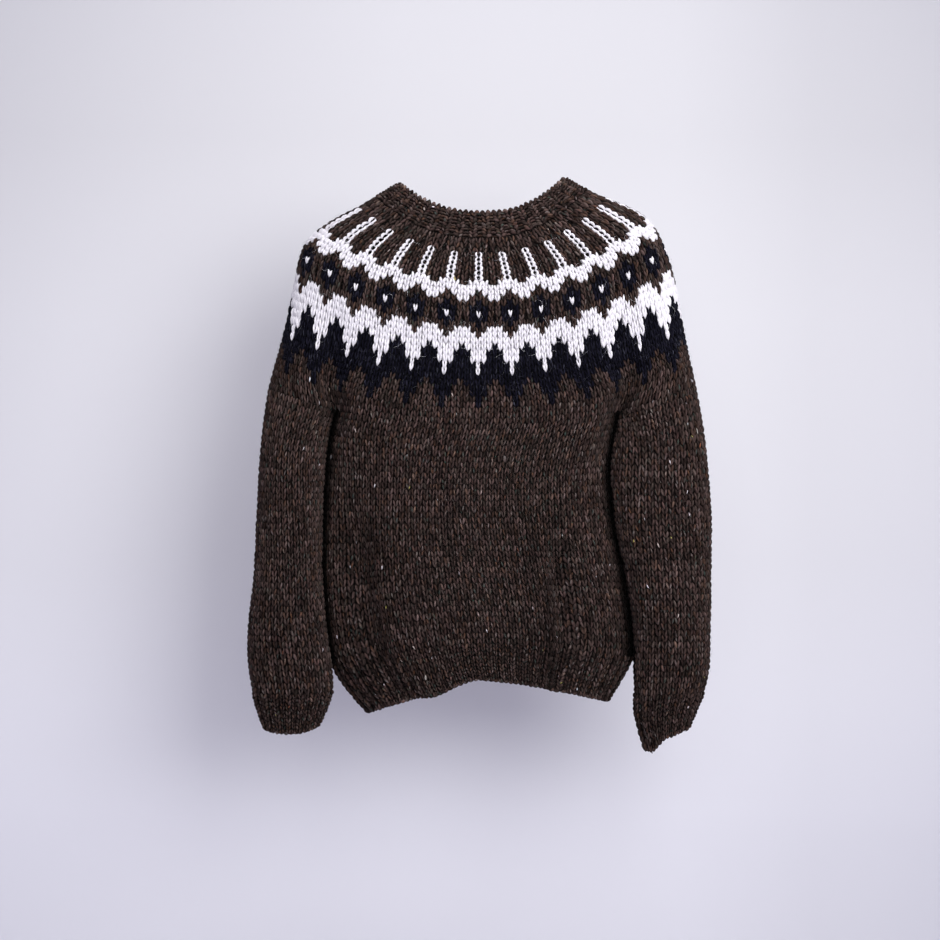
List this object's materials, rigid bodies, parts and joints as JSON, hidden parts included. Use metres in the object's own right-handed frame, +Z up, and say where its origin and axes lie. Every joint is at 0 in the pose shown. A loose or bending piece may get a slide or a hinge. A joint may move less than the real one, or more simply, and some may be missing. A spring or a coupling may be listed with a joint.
{
  "type": "knitted yoke sweater",
  "caption": "Hand-knitted pullover with a round patterned yoke, long sleeves and ribbed neck, cuffs and hem, held up by its neck.",
  "frame": {"origin": "midway between the two upper corners of the neckband, where the pullover is held up", "axes": "+X to the viewer's right, the wearer's left; -Y the front of the pullover; +Z up along its length"},
  "size_m": [0.5496, 0.1392, 0.6833],
  "materials": {
    "neckband_wool": "brushed wool",
    "yoke_wool": "brushed wool",
    "body_wool": "brushed wool",
    "hem_rib_wool": "brushed wool",
    "sleeve_left_wool": "brushed wool",
    "sleeve_right_wool": "brushed wool",
    "cuff_left_wool": "brushed wool",
    "cuff_right_wool": "brushed wool"
  },
  "bodies": {
    "root": {"neckband": "neckband_wool", "yoke": "yoke_wool", "body": "body_wool", "hem_rib": "hem_rib_wool", "sleeve_left": "sleeve_left_wool", "sleeve_right": "sleeve_right_wool", "cuff_left": "cuff_left_wool", "cuff_right": "cuff_right_wool"}
  },
  "joints": []
}
